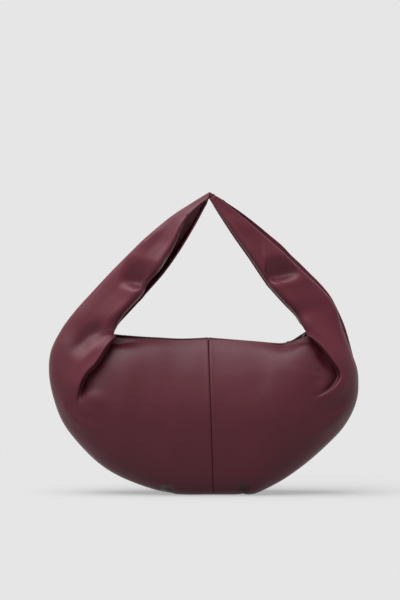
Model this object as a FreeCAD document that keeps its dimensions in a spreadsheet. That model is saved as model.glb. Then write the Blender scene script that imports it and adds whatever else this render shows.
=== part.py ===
import FreeCAD, Part
import math
import os
import re

# Soft leather hobo bag, in millimetres. Its frame has +Z up, the front panels face -Y and the zip closes
# towards +X. The origin is under the middle of the bag, on the surface that it stands on.
#
# The bag is a croissant: a full belly that rises at both ends into a wide, folded shoulder strap, which
# comes to a point at the top. Leather, lining and tapes are nested shells of one set of oval sections.
# The strap flexes over a horizontal line at its two roots; the zip slider runs along a straight chain.

doc = FreeCAD.newDocument("hobo_bag")
sheet = doc.addObject("Spreadsheet::Sheet", "sizes")

# Oval sections of the belly, bottom to top: rise from the one below, reach left and right, half depth.
BELLY = {
    "sole": (0, 50, 74, 35),
    "turn": (9, 86, 95, 49),
    "keel": (21, 131, 128, 59),
    "low": (32, 170, 168, 65),
    "belly": (38, 200, 204, 66),
    "hip": (42, 215, 220, 63),
    "waist": (34, 220, 218, 49),
    "neck": (28, 216, 212, 30),
    "lip": (18, 206, 207, 15),
    "above": (14, 199, 202, 13),
}
# Oval sections of each side of the strap, root to peak: rise from the one below, outer and inner reach
# on the left and on the right, half depth. The root's place follows from the mouth.
STRAP = {
    "root": (0, (214, 129), (211, 157), 26),
    "bend": (28, (197, 121), (202, 145), 25.5),
    "lower": (40, (164.5, 89), (185, 105), 21),
    "middle": (51, (116, 46), (135, 68), 17.5),
    "upper": (51, (59, 13.5), (77, 32), 12),
    "tip": (30, (19, -3), (34.5, 14), 8),
    "peak": (16.5, (-3.5, -14), (13.5, 3), 4.4),
}

OTHER_SIZES = {
    "leather": 1.6,  # outer leather with its backing
    "lining": 0.9,  # cotton lining
    "lining_gap": 1.9,  # room between leather and lining for tapes and the base board
    "clearance": 0.3,
    "centre_seam": 8.5,  # the front, back and strap seams lie in one plane
    "mouth_rise": 14,  # turned top edges, each side of the zip, above the neck
    "mouth_gap_left": 6.5,  # from the mouth's ends to the channels that the strap's roots turn in
    "mouth_gap_right": 11,
    "root_drop": 6,  # the line that the strap flexes over, below the mouth
    "root_room": 2,  # the channels are this much deeper than the strap's roots
    "shoulder_drop": 6,  # the belly's ends stop this far below the flex line
    "shoulder_spread": 8,  # the strap widens towards the middle of the bag just above its roots
    "seam_tape": 0.6,
    "seam_tape_width": 12,
    "peak_thickness": 5,  # the strap's layers are stitched solid at its peak
    "strap_wall_lean": 1.5,  # a leaning wall is this much longer when measured level
    "zip_drop": 9,  # middle of the chain below the mouth's edges
    "chain_margin_left": 14.5,
    "chain_margin_right": 10,
    "tooth_pitch": 2.8,
    "tooth_length": 1.7,
    "tooth_width": 2.2,
    "tooth_height": 2.2,
    "chain_gap": 1.4,  # between the two rows, where the slider's post runs
    "tape_thickness": 0.8,
    "tape_end": 3.5,  # tape past the last tooth
    "stop_length": 2.4,
    "slider_length": 11,
    "slider_width": 9.2,
    "slider_plate": 1.2,
    "slider_play": 0.3,
    "slider_setback": 7.5,  # middle of the closed slider to the end of the chain
    "slider_corner": 2.2,
    "post_setback": 1,
    "post_length": 3,
    "post_width": 0.8,
    "bail_setback": 0.8,  # from the slider's right end
    "bail_wall": 1.2,
    "bail_width": 2.4,
    "bail_length": 7,
    "pivot_height": 1.9,  # middle of the puller's bar above the slider's top plate
    "bar_radius": 0.8,
    "pull_length": 31,
    "pull_width": 6,
    "pull_thickness": 1.5,
    "pull_hole": 1.6,  # radius of the hole near the puller's tip
    "pull_slot": 5.2,  # length of the slot that the bail passes through
    "pull_angle": 33,  # the puller leans up against the strap's root
    "board_thickness": 1.1,
    "board_margin": 14,
    "pocket_left": 62,
    "pocket_right": 88,
    "pocket_low": 80,
    "pocket_high": 160,
    "pocket_gap": 0.3,
    "webbing_width": 20,
    "webbing_thickness": 1.6,
    "anchor_thickness": 1.2,
    "anchor_width": 34,
    "anchor_depth": 44,
}

SIDES = ("left", "right")
BIG = 600  # larger than the bag, for the blocks that trim it
HALF = BIG // 2
OVER = 1  # how far a block runs past the end of what it cuts


def fill_sheet():
    rows = dict(OTHER_SIZES)
    for name, (rise, left, right, depth) in BELLY.items():
        rows[name + "_rise"] = rise
        rows[name + "_left"] = left
        rows[name + "_right"] = right
        rows[name + "_depth"] = depth
    for name, (rise, left, right, depth) in STRAP.items():
        rows["strap_" + name + "_rise"] = rise
        rows["strap_" + name + "_depth"] = depth
        for side, (outer, inner) in zip(SIDES, (left, right)):
            rows["strap_" + name + "_" + side + "_outer"] = outer
            rows["strap_" + name + "_" + side + "_inner"] = inner
    for row, (alias, value) in enumerate(rows.items(), start=1):
        sheet.set("A%d" % row, alias)
        sheet.set("B%d" % row, str(value))
        sheet.setAlias("B%d" % row, alias)
    doc.recompute()


def size(alias):
    return float(sheet.get(alias))


def stacked(parts, last, prefix=""):
    """The height of one section, as the sum of the rises up to it."""
    below = list(parts)[:list(parts).index(last) + 1]
    return "( " + " + ".join(prefix + part + "_rise" for part in below) + " )"


def strap_height(part):
    return "( " + ROOT_HEIGHT + " + " + stacked(STRAP, part, "strap_") + " )"


MOUTH_HEIGHT = "( " + stacked(BELLY, "neck") + " + mouth_rise )"
ROOT_HEIGHT = "( " + MOUTH_HEIGHT + " - root_drop )"
ZIP_HEIGHT = "( " + MOUTH_HEIGHT + " - zip_drop )"
MOUTH_LEFT = "( strap_root_left_inner - shoulder_spread - mouth_gap_left )"
MOUTH_RIGHT = "( strap_root_right_inner - shoulder_spread - mouth_gap_right )"
CHAIN_LEFT = "( " + MOUTH_LEFT + " - chain_margin_left )"
CHAIN_RIGHT = "( " + MOUTH_RIGHT + " - chain_margin_right )"
SLIDER_MIDDLE = "( " + CHAIN_RIGHT + " - slider_setback )"
TROUGH_DEPTH = "( max( strap_root_depth; strap_bend_depth ) + root_room )"


def with_sheet(text):
    """Puts the sheet's name before each of its aliases in an expression."""
    def full_name(word):
        return "sizes." + word.group() if sheet.getCellFromAlias(word.group()) else word.group()
    return re.sub("[a-z_]{3,}", full_name, text)


def value(text):
    """What an expression on the sheet comes to, for the few shapes that code works out."""
    return float(sheet.evalExpression(with_sheet(text)))


def bind(obj, **expressions):
    """Ties properties to the sheet. place_x and its like stand for Placement.Base.x."""
    for prop, text in expressions.items():
        if prop.startswith("place_"):
            prop = ".Placement.Base." + prop[-1]
        obj.setExpression(prop, with_sheet(text))
    return obj


def block(name, x, y, z, length, width, height):
    return bind(
        doc.addObject("Part::Box", name),
        place_x=x, place_y=y, place_z=z, Length=length, Width=width, Height=height,
    )


def combine(kind, name, base, tool):
    obj = doc.addObject("Part::" + kind, name)
    obj.Base = base
    obj.Tool = tool
    return obj


def fuse(name, *shapes):
    obj = doc.addObject("Part::MultiFuse", name)
    obj.Shapes = list(shapes)
    return obj


def oval(name, middle, height, half_length, half_depth):
    return bind(
        doc.addObject("Part::Ellipse", name),
        place_x=middle, place_z=height, MajorRadius=half_length,
        MinorRadius="min(%s; %s)" % (half_depth, half_length),
    )


def loft(name, sections):
    obj = doc.addObject("Part::Loft", name)
    obj.Sections = sections
    obj.Solid = True
    obj.Ruled = False
    return obj


def belly_form(name, inset):
    """The belly's ovals drawn in by inset: inwards everywhere, up near the sole and down near the mouth."""
    sections = []
    for part in BELLY:
        height = stacked(BELLY, part)
        widest = stacked(BELLY, "belly")
        sections.append(oval(
            name + "_" + part,
            "( %s_right - %s_left ) / 2" % (part, part),
            "%s + ( %s ) * ( 1 - %s / %s )" % (height, inset, height, widest),
            "( %s_right + %s_left ) / 2 - ( %s )" % (part, part, inset),
            "%s_depth - ( %s )" % (part, inset),
        ))
    return loft(name, sections)


def trough(name, side, inset):
    """The oval channel that one root of the strap turns in, from the front of the bag to its back."""
    sign = "-" if side == "left" else ""
    outer, inner = "strap_root_%s_outer" % side, "( strap_root_%s_inner - shoulder_spread )" % side
    ring = bind(
        doc.addObject("Part::Ellipse", name + "_ring"),
        place_x="%s ( %s + %s ) / 2" % (sign, outer, inner),
        place_z=ROOT_HEIGHT,
        MajorRadius="( %s - %s ) / 2 + clearance + strap_wall_lean * ( %s )" % (outer, inner, inset),
        MinorRadius="%s + ( %s )" % (TROUGH_DEPTH, inset),
    )
    ring.Placement.Rotation = FreeCAD.Rotation(FreeCAD.Vector(1, 0, 0), 90)
    channel = doc.addObject("Part::Extrusion", name)
    channel.Base = ring
    channel.DirMode = "Custom"
    channel.Dir = FreeCAD.Vector(0, 1, 0)
    channel.LengthFwd = BIG
    channel.Symmetric = True
    channel.Solid = True
    return channel


def bag_solid(name, inset, top, end):
    """A belly form with its mouth standing above the two shoulders, which are hollowed for the strap.
    The mouth stops short of its full length by end."""
    low = block(name + "_low", f"-{HALF}", f"-{HALF}", f"-{OVER}",
                str(BIG), str(BIG), f"{ROOT_HEIGHT} - shoulder_drop - ( {inset} ) + {OVER}")
    hip = stacked(BELLY, "hip")
    mouth = block(name + "_mouth", f"( {end} ) - {MOUTH_LEFT}", f"-{HALF}", hip,
                  f"{MOUTH_LEFT} + {MOUTH_RIGHT} - 2 * ( {end} )", str(BIG), f"( {top} ) - {hip}")
    form = belly_form(name + "_form", inset)
    trimmed = combine("Common", name + "_trimmed", form, fuse(name + "_region", low, mouth))
    channels = [trough("%s_channel_%s" % (name, side), side, inset) for side in SIDES]
    return combine("Cut", name, trimmed, fuse(name + "_channels", *channels))


def bag_shell(name, outer_inset, inner_inset, top):
    outer = bag_solid(name + "_outside", outer_inset, top, outer_inset)
    inner = bag_solid(name + "_inside", inner_inset, MOUTH_HEIGHT + " + leather", f"-{OVER}")
    return combine("Cut", name, outer, inner)


def half_region(name, front):
    start = f"-{HALF}" if front else "0"
    return block(name, f"-{HALF}", start, f"-{OVER}", str(BIG), str(HALF), str(BIG))


def quarter_region(name, front, left):
    x = f"-{HALF}" if left else "centre_seam"
    length = f"centre_seam + {HALF}" if left else str(HALF)
    y = f"-{HALF}" if front else "0"
    return block(name, x, y, f"-{OVER}", length, str(HALF), str(BIG))


def make_leather_panels():
    shell = bag_shell("leather_shell", "0", "leather", MOUTH_HEIGHT)
    for front in (True, False):
        for left in (True, False):
            name = ("front_" if front else "back_") + ("left" if left else "right") + "_panel"
            node(name, combine("Common", name, shell, quarter_region(name + "_region", front, left)))


def make_lining():
    outer = "leather + lining_gap"
    shell = bag_shell("lining_shell", outer, outer + " + lining",
                      ZIP_HEIGHT + " - leather / 2 - clearance")
    for name, front in (("lining_front", True), ("lining_back", False)):
        node(name, combine("Common", name, shell, half_region(name + "_region", front)))
    pocket_outer = outer + " + lining + pocket_gap"
    layer = combine("Cut", "pocket_layer", belly_form("pocket_outside", pocket_outer),
                    belly_form("pocket_inside", pocket_outer + " + lining"))
    patch = block("pocket_region", "-pocket_left", "0", "pocket_low",
                  "pocket_left + pocket_right", str(BIG), "pocket_high - pocket_low")
    node("inner_pocket", combine("Common", "inner_pocket", layer, patch))


def make_seam_tapes():
    """Thin tapes glued behind the centre seams and along the seam that joins front and back."""
    outer = "leather + clearance"
    layer = bag_shell("tape_layer", outer, outer + " + seam_tape", ZIP_HEIGHT + " - tape_thickness")
    half = "seam_tape_width / 2"
    board_room = "2 * board_margin"
    for name, front in (("front_seam_tape", True), ("back_seam_tape", False)):
        y = f"-{HALF}" if front else half
        strip = block(name + "_region", "centre_seam - " + half, y, board_room,
                      "seam_tape_width", f"{HALF} - {half}", str(BIG))
        node(name, combine("Common", name, layer, strip))
    for side, x in (("left", f"-{HALF}"), ("right", "sole_right + board_margin")):
        name = "side_seam_tape_" + side
        length = str(HALF) + " - sole_left - board_margin" if side == "left" else str(HALF)
        strip = block(name + "_region", x, "- " + half, f"-{OVER}", length, "seam_tape_width",
                      ROOT_HEIGHT + " - " + TROUGH_DEPTH + " - anchor_depth")
        node(name, combine("Common", name, layer, strip))


def make_base_board():
    body = doc.addObject("PartDesign::Body", "base_board")
    sketch = body.newObject("Sketcher::SketchObject", "base_board_outline")
    sketch.AttachmentSupport = (origin_plane(body, "XY_Plane"), [""])
    sketch.MapMode = "FlatFace"
    edge = size("leather") + size("clearance")
    half_depth = size("sole_depth") - edge
    left, right = edge - size("sole_left"), size("sole_right") - edge
    middle, reach = (left + right) / 2, (right - left) / 2
    sketch.addGeometry(Part.Ellipse(
        FreeCAD.Vector(middle + reach, 0, 0),
        FreeCAD.Vector(middle, half_depth, 0),
        FreeCAD.Vector(middle, 0, 0)))
    sketch.exposeInternalGeometry(0)
    pad = body.newObject("PartDesign::Pad", "base_board_pad")
    pad.Profile = sketch
    bind(pad, Length="board_thickness")
    bind(body, place_z="leather + clearance")
    node("base_board", body)


def origin_plane(body, role):
    return next(f for f in body.Origin.OriginFeatures if f.Role == role)


def make_strap_anchors():
    """Leather patches inside the two ends of the belly, which take the pull of the strap."""
    outer = "leather + clearance"
    layer = bag_shell("anchor_layer", outer, outer + " + anchor_thickness", MOUTH_HEIGHT)
    top = ROOT_HEIGHT + " - " + TROUGH_DEPTH + " - leather"
    for side in SIDES:
        middle = "( strap_root_%s_outer + strap_root_%s_inner ) / 2" % (side, side)
        if side == "left":
            middle = "- " + middle
        patch = block("strap_anchor_%s_region" % side, middle + " - anchor_width / 2",
                      f"-{HALF}", top + " - anchor_depth", "anchor_width", str(BIG),
                      f"anchor_depth + {OVER}")
        node("strap_anchor_" + side, combine("Common", "strap_anchor_" + side, layer, patch))


def strap_form(side, name, inset):
    sections = []
    sign = "-" if side == "left" else ""
    for part in STRAP:
        base = "strap_" + part + "_"
        outer, inner = base + side + "_outer", base + side + "_inner"
        sections.append(oval(
            name + "_" + part,
            "%s ( %s + %s ) / 2" % (sign, outer, inner),
            strap_height(part),
            "( %s - %s ) / 2 - strap_wall_lean * ( %s )" % (outer, inner, inset),
            base + "depth - ( %s )" % inset,
        ))
    hub = doc.addObject("Part::Ellipsoid", name + "_hub")
    hub.Angle1 = -90
    hub.Angle2 = 0
    root = "strap_root_" + side
    bind(hub,
         place_x="%s ( %s_outer + %s_inner ) / 2" % (sign, root, root),
         place_z=ROOT_HEIGHT,
         Radius1="strap_root_depth - ( %s )" % inset,
         Radius2="( %s_outer - %s_inner ) / 2 - strap_wall_lean * ( %s )" % (root, root, inset),
         Radius3="strap_root_depth - ( %s )" % inset)
    return fuse(name, loft(name + "_loft", sections), hub)


def make_strap():
    for side in SIDES:
        hollow = block("strap_%s_below_peak" % side, f"-{HALF}", f"-{HALF}", "0",
                       str(BIG), str(BIG), strap_height("peak") + " - peak_thickness")
        inside = combine("Common", "strap_%s_hollow" % side,
                         strap_form(side, "strap_%s_inside" % side, "leather"), hollow)
        shell = combine("Cut", "strap_%s_shell" % side,
                        strap_form(side, "strap_%s_outside" % side, "0"), inside)
        for front in (True, False):
            name = "strap_" + side + ("_front" if front else "_back")
            node(name, combine("Common", name, shell,
                               quarter_region(name + "_region", front, side == "left")))


def make_webbing():
    """Woven tape inside the strap: a band along the middle of the ovals, flat in the plane of the bag."""
    parts = [p for p in STRAP if p not in ("peak",)]
    for side in SIDES:
        sign = -1 if side == "left" else 1
        half = size("webbing_width") / 2
        edges = []
        for offset in (-half, half):
            points = []
            for part in parts:
                base = "strap_" + part + "_"
                reach = (size(base + side + "_outer") + size(base + side + "_inner")) / 2
                narrow = (size(base + side + "_outer") - size(base + side + "_inner")) / 2
                room = narrow - size("strap_wall_lean") * size("leather") - 2 * size("clearance")
                step = max(-room, min(room, offset))
                points.append(FreeCAD.Vector(sign * reach + step, 0, value(strap_height(part))))
            curve = Part.BSplineCurve()
            curve.interpolate(points)
            edges.append((curve, points))
        (first, a), (second, b) = edges
        outline = Part.Wire([first.toShape(), Part.makeLine(a[-1], b[-1]),
                             second.toShape(), Part.makeLine(b[0], a[0])])
        thickness = size("webbing_thickness")
        band = Part.Face(outline).extrude(FreeCAD.Vector(0, thickness, 0))
        band.translate(FreeCAD.Vector(0, -thickness / 2, 0))
        obj = doc.addObject("Part::Feature", "strap_webbing_" + side)
        obj.Shape = band
        node("strap_webbing_" + side, obj)


def make_zip_tapes():
    """Each tape reaches from its row of teeth to the leather, and its ends are covered by leather tabs."""
    cavity = bag_solid("mouth_cavity", "leather", MOUTH_HEIGHT, "0")
    row = "chain_gap / 2 + tooth_width"
    left = f"- {CHAIN_LEFT} - tape_end"
    for name, front in (("zip_tape_front", True), ("zip_tape_back", False)):
        y = f"-{HALF}" if front else row
        slab = block(name + "_slab", left, y, ZIP_HEIGHT + " - tape_thickness / 2",
                     f"{CHAIN_LEFT} + {CHAIN_RIGHT} + 2 * tape_end",
                     f"{HALF} - ( {row} )", "tape_thickness")
        node(name, combine("Common", name, cavity, slab))
    spans = {
        "left": (f"- {MOUTH_LEFT} - {OVER}", f"{MOUTH_LEFT} + {OVER} - {CHAIN_LEFT} - tape_end"),
        "right": (f"{CHAIN_RIGHT} + tape_end", f"{MOUTH_RIGHT} + {OVER} - {CHAIN_RIGHT} - tape_end"),
    }
    for side, (x, length) in spans.items():
        name = "zip_end_tab_" + side
        slab = block(name + "_slab", x, f"-{HALF}", ZIP_HEIGHT + " - leather / 2",
                     length, str(BIG), "leather")
        node(name, combine("Common", name, cavity, slab))


def make_teeth():
    for name, front in (("zip_teeth_front", True), ("zip_teeth_back", False)):
        tooth = bind(
            doc.addObject("Part::Box", name + "_tooth"),
            Length="tooth_length", Width="tooth_width", Height="tooth_height",
            place_x="- " + CHAIN_LEFT + ("" if front else " + tooth_pitch / 2"),
            place_y="- chain_gap / 2 - tooth_width" if front else "chain_gap / 2",
            place_z=ZIP_HEIGHT + " - tooth_height / 2",
        )
        doc.recompute()
        pitch = size("tooth_pitch")
        run = value(f"{CHAIN_LEFT} + {CHAIN_RIGHT} - tooth_length")
        count = int((run - (0 if front else pitch / 2)) / pitch) + 1
        row = doc.addObject("Part::Feature", name)
        copies = [tooth.Shape.translated(FreeCAD.Vector(i * pitch, 0, 0)) for i in range(count)]
        row.Shape = Part.makeCompound(copies)
        node(name, row)


def make_stops():
    """Two small stops where the zip closes, and one that ties both tapes where it opens."""
    width, height, length = "tooth_width", "tooth_height", "stop_length"
    z = ZIP_HEIGHT + " - tooth_height / 2"
    x = CHAIN_RIGHT + " + clearance"
    tops = [
        block("top_stop_front_block", x, "- chain_gap / 2 - tooth_width", z, length, width, height),
        block("top_stop_back_block", x, "chain_gap / 2", z, length, width, height),
    ]
    node("zip_top_stops", fuse("zip_top_stops", *tops))
    span = "chain_gap + 2 * tooth_width"
    bottom = block("zip_bottom_stop", f"- {CHAIN_LEFT} - stop_length - clearance",
                   "- chain_gap / 2 - tooth_width", z, length, span, height)
    node("zip_bottom_stop", bottom)


def make_slider():
    half_height = "( tooth_height / 2 + slider_play + slider_plate )"
    x = SLIDER_MIDDLE + " - slider_length / 2"
    outer = block("slider_block", x, "- slider_width / 2", ZIP_HEIGHT + " - " + half_height,
                  "slider_length", "slider_width", "2 * " + half_height)
    rounded = doc.addObject("Part::Fillet", "slider_rounded")
    rounded.Base = outer
    doc.recompute()
    upright = [i for i, e in enumerate(outer.Shape.Edges, start=1)
               if abs(e.tangentAt(e.FirstParameter).z) > 0.9]
    corner = size("slider_corner")
    rounded.Edges = [(i, corner, corner) for i in upright]
    rows = "( chain_gap / 2 + tooth_width + slider_play )"
    channel = block("slider_channel", f"{x} - {OVER}", "- " + rows,
                    ZIP_HEIGHT + " - tooth_height / 2 - slider_play", f"slider_length + {2 * OVER}",
                    "2 * " + rows, "tooth_height + 2 * slider_play")
    slot = block("slider_tape_slot", f"{x} - {OVER}", "- slider_width",
                 ZIP_HEIGHT + " - tape_thickness / 2 - slider_play", f"slider_length + {2 * OVER}",
                 "2 * slider_width", "tape_thickness + 2 * slider_play")
    plates = combine("Cut", "slider_plates", rounded, fuse("slider_cuts", channel, slot))
    post = block("slider_post", SLIDER_MIDDLE + " + slider_length / 2 - post_length - post_setback",
                 "- post_width / 2", ZIP_HEIGHT + " - " + half_height, "post_length", "post_width",
                 "2 * " + half_height)
    node("zip_slider_body", fuse("zip_slider_body", plates, post))


def slider_top():
    return f"( {ZIP_HEIGHT} + tooth_height / 2 + slider_play + slider_plate )"


def pivot_x():
    return f"( {SLIDER_MIDDLE} + slider_length / 2 - bail_length / 2 - bail_setback )"


def make_bail():
    """An arch on the slider's top plate that the puller's bar turns under."""
    body = doc.addObject("PartDesign::Body", "zip_slider_bail")
    sketch = body.newObject("Sketcher::SketchObject", "bail_profile")
    sketch.AttachmentSupport = (origin_plane(body, "XZ_Plane"), [""])
    sketch.MapMode = "FlatFace"
    half, wall = size("bail_length") / 2, size("bail_wall")
    centre = size("pivot_height")
    bar_reach = math.hypot(size("bar_radius"), size("pull_thickness") / 2)
    top = centre + bar_reach + size("clearance")
    points = [(-half, 0), (-half, top), (-half + wall, top + wall), (half - wall, top + wall),
              (half, top), (half, 0), (half - wall, 0), (half - wall, top), (-half + wall, top),
              (-half + wall, 0)]
    corners = [FreeCAD.Vector(x, z, 0) for x, z in points]
    for start, end in zip(corners, corners[1:] + corners[:1]):
        sketch.addGeometry(Part.LineSegment(start, end))
    pad = body.newObject("PartDesign::Pad", "bail_pad")
    pad.Profile = sketch
    pad.Midplane = True
    bind(pad, Length="bail_width")
    bind(body, place_x=pivot_x(), place_z=slider_top())
    node("zip_slider_bail", body)


def make_pull():
    """A flat tongue with a hole near its tip. Its bar is what is left past the slot for the bail."""
    body = doc.addObject("PartDesign::Body", "zip_pull")
    sketch = body.newObject("Sketcher::SketchObject", "pull_outline")
    sketch.AttachmentSupport = (origin_plane(body, "XY_Plane"), [""])
    sketch.MapMode = "FlatFace"
    bar, half = size("bar_radius"), size("pull_width") / 2
    end = size("pull_length") - half
    start = FreeCAD.Vector(-bar, -half, 0), FreeCAD.Vector(-bar, half, 0)
    tip = FreeCAD.Vector(end, half, 0), FreeCAD.Vector(end, -half, 0)
    sketch.addGeometry(Part.LineSegment(start[1], tip[0]))
    sketch.addGeometry(Part.Arc(tip[0], FreeCAD.Vector(end + half, 0, 0), tip[1]))
    sketch.addGeometry(Part.LineSegment(tip[1], start[0]))
    sketch.addGeometry(Part.LineSegment(start[0], start[1]))
    pad = body.newObject("PartDesign::Pad", "pull_pad")
    pad.Profile = sketch
    pad.Midplane = True
    bind(pad, Length="pull_thickness")
    slot = body.newObject("Sketcher::SketchObject", "pull_openings")
    slot.AttachmentSupport = (origin_plane(body, "XY_Plane"), [""])
    slot.MapMode = "FlatFace"
    gap = size("bail_width") / 2 + size("clearance")
    far = bar + size("pull_slot")
    ring = [FreeCAD.Vector(bar, -gap, 0), FreeCAD.Vector(far, -gap, 0),
            FreeCAD.Vector(far, gap, 0), FreeCAD.Vector(bar, gap, 0)]
    for a, b in zip(ring, ring[1:] + ring[:1]):
        slot.addGeometry(Part.LineSegment(a, b))
    slot.addGeometry(Part.Circle(FreeCAD.Vector(end, 0, 0), FreeCAD.Vector(0, 0, 1), size("pull_hole")))
    pocket = body.newObject("PartDesign::Pocket", "pull_pocket")
    pocket.Profile = slot
    pocket.Midplane = True
    pocket.Type = "ThroughAll"
    angle = size("pull_angle")
    body.Placement.Rotation = FreeCAD.Rotation(FreeCAD.Vector(0, 1, 0), -angle)
    bind(body, place_x=pivot_x(), place_z=slider_top() + " + pivot_height")
    node("zip_pull", body)


nodes = {}


def node(name, obj):
    obj.Label = name
    nodes[name] = obj


def check_and_write():
    doc.recompute()
    for obj in doc.Objects:
        if "Invalid" in obj.State or "Error" in obj.State:
            raise RuntimeError("%s failed: %s" % (obj.Name, obj.State))
    os.makedirs("parts", exist_ok=True)
    for name, obj in nodes.items():
        shape = obj.Shape
        if shape.isNull() or not shape.isValid() or not shape.Solids:
            raise RuntimeError(name + " has no valid solid")
        shape.exportStep(os.path.join("parts", name + ".step"))
        print("%-20s %3d solids %9.0f mm3" % (name, len(shape.Solids), shape.Volume))


fill_sheet()
make_leather_panels()
make_lining()
make_seam_tapes()
make_base_board()
make_strap_anchors()
make_strap()
make_webbing()
make_zip_tapes()
make_teeth()
make_stops()
make_slider()
make_bail()
make_pull()
check_and_write()
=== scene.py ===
import bpy
import math
import numpy as np
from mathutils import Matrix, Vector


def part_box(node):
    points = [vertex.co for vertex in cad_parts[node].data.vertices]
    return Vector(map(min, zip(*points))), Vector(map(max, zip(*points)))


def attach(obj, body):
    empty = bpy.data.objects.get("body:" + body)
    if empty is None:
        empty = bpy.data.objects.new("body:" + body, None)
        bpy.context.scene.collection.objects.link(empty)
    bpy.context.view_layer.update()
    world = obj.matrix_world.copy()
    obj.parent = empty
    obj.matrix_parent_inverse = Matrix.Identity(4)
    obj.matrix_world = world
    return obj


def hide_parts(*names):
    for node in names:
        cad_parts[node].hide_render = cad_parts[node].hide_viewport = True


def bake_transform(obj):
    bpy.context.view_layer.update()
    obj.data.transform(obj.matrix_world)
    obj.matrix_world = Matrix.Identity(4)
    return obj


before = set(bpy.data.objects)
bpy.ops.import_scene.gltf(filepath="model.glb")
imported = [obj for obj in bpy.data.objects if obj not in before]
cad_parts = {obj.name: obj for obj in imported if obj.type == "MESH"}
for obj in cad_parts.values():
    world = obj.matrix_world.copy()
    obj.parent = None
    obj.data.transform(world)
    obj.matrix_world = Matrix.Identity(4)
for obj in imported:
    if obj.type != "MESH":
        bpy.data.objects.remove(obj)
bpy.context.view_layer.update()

mm = 0.001


def hexColour(text):
    parts = [int(text[i:i + 2], 16) / 255 for i in (1, 3, 5)]
    return (*[c / 12.92 if c <= 0.04045 else ((c + 0.055) / 1.055) ** 2.4 for c in parts], 1.0)


def addNode(tree, kind, settings=None, links=None):
    # settings: node properties, or socket values by name or number; links: socket -> output socket
    node = tree.nodes.new(kind)
    for key, value in (settings or {}).items():
        if isinstance(key, int) or key in node.inputs:
            node.inputs[key].default_value = value
        else:
            setattr(node, key, value)
    for key, source in (links or {}).items():
        tree.links.new(source, node.inputs[key])
    return node


def newMaterial(name):
    made = bpy.data.materials.new(name)
    made.use_nodes = True
    made.node_tree.nodes.clear()
    return made, made.node_tree


# level, a long way off, at half the bag's height; all in metres but the sensor
camera = {"distance": 3.5, "height": 0.2748, "aside": -0.005, "viewHeight": 0.8544, "sensor": 36}

cameraData = bpy.data.cameras.new("camera")
cameraData.sensor_width = camera["sensor"]
cameraData.lens = camera["sensor"] * camera["distance"] / camera["viewHeight"]
cameraObject = bpy.data.objects.new("camera", cameraData)
cameraObject.location = (camera["aside"], -camera["distance"], camera["height"])
cameraObject.rotation_euler = (math.radians(90), 0, 0)
bpy.context.collection.objects.link(cameraObject)
bpy.context.scene.camera = cameraObject
print("camera set")

# each quarter of the bag is one skin of leather, from the base up to the peak of the strap
# a row is one line across the skin, from the outer seam to the inner edge, in mm:
# outer x, outer z, outer y, inner x, inner z, inner y, depth of the swell, form (0 belly, 1 side, 2 strap)
frontLeft = [
    (14, 0, 0, 7, 220, 12.5, 64, 0),
    (-20, 0, 0, -31, 218.5, 13, 64, 0),
    (-52, 1, 0, -63, 220, 13, 63, 0.25),
    (-87, 11, 0, -90, 221.5, 13, 60, 0.6),
    (-120, 24, 0, -109, 223, 13.5, 57, 0.85),
    (-151, 44, 0, -120.5, 224, 14, 53, 0.95),
    (-180, 73, 0, -125.5, 224.5, 15, 48, 1),
    (-201, 102, 0, -127.3, 225, 16, 43, 1),
    (-213.5, 135, 0, -128, 226, 17, 38, 1),
    (-220, 170, 0, -127.6, 228.5, 17.5, 33, 1),
    (-217.5, 202, 0, -126, 233, 17, 29, 1.2),
    (-203, 232, 0, -121.5, 240.5, 15, 25, 1.5),
    (-184, 258, 0, -110, 256, 19, 26, 1.8),
    (-157, 288, 0, -92.5, 276, 19, 24.5, 2),
    (-125, 322, 0, -69, 306, 18, 22, 2),
    (-89, 357, 0, -44, 345, 15.5, 18.5, 2),
    (-50, 391, 0, -24.5, 388, 9.5, 12.5, 2),
    (-14, 415, 0, -6, 409, 5, 7, 2),
    (8, 428.5, 0, 8, 419.5, 2, 4.5, 2),
]
frontRight = [
    (14, 0, 0, 7, 220, 12.5, 64, 0),
    (45, 0, 0, 45, 218, 13, 64, 0),
    (73, 0.5, 0, 80, 215.7, 13, 63, 0.15),
    (97, 10, 0, 100, 214, 13, 61, 0.6),
    (122, 25, 0, 113, 213.6, 13.5, 58, 0.85),
    (150, 45.5, 0, 125, 217, 14, 54, 0.95),
    (176, 69, 0, 134, 221.5, 14.5, 49, 1),
    (197, 91, 0, 141, 224.5, 15.5, 45, 1),
    (211, 113, 0, 145, 226.5, 16.5, 41, 1),
    (218.5, 134, 0, 147, 228, 17, 37, 1),
    (220.5, 155, 0, 147.5, 230, 17, 34, 1),
    (218, 178, -1, 146.5, 232.5, 17, 31, 1.1),
    (209, 204, -3, 144, 236.5, 16, 28, 1.3),
    (196.5, 237, -6, 138, 243, 14, 24, 1.6),
    (188, 263.5, -8, 128, 255.5, 11.5, 21, 1.8),
    (173, 285, -8, 112, 273, 17, 23, 2),
    (141, 316, -8, 89.5, 299, 16, 21, 2),
    (107.5, 348, -7, 66.5, 333, 14, 18.5, 2),
    (77.3, 374.5, -6, 46.5, 362, 9.5, 14, 2),
    (47.7, 400, -5, 31, 385, 6, 10.5, 2),
    (24, 418.5, -3, 18.5, 403, 3, 6.5, 2),
    (9, 428.5, 0, 9, 419.5, 2, 4.5, 2),
]
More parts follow.
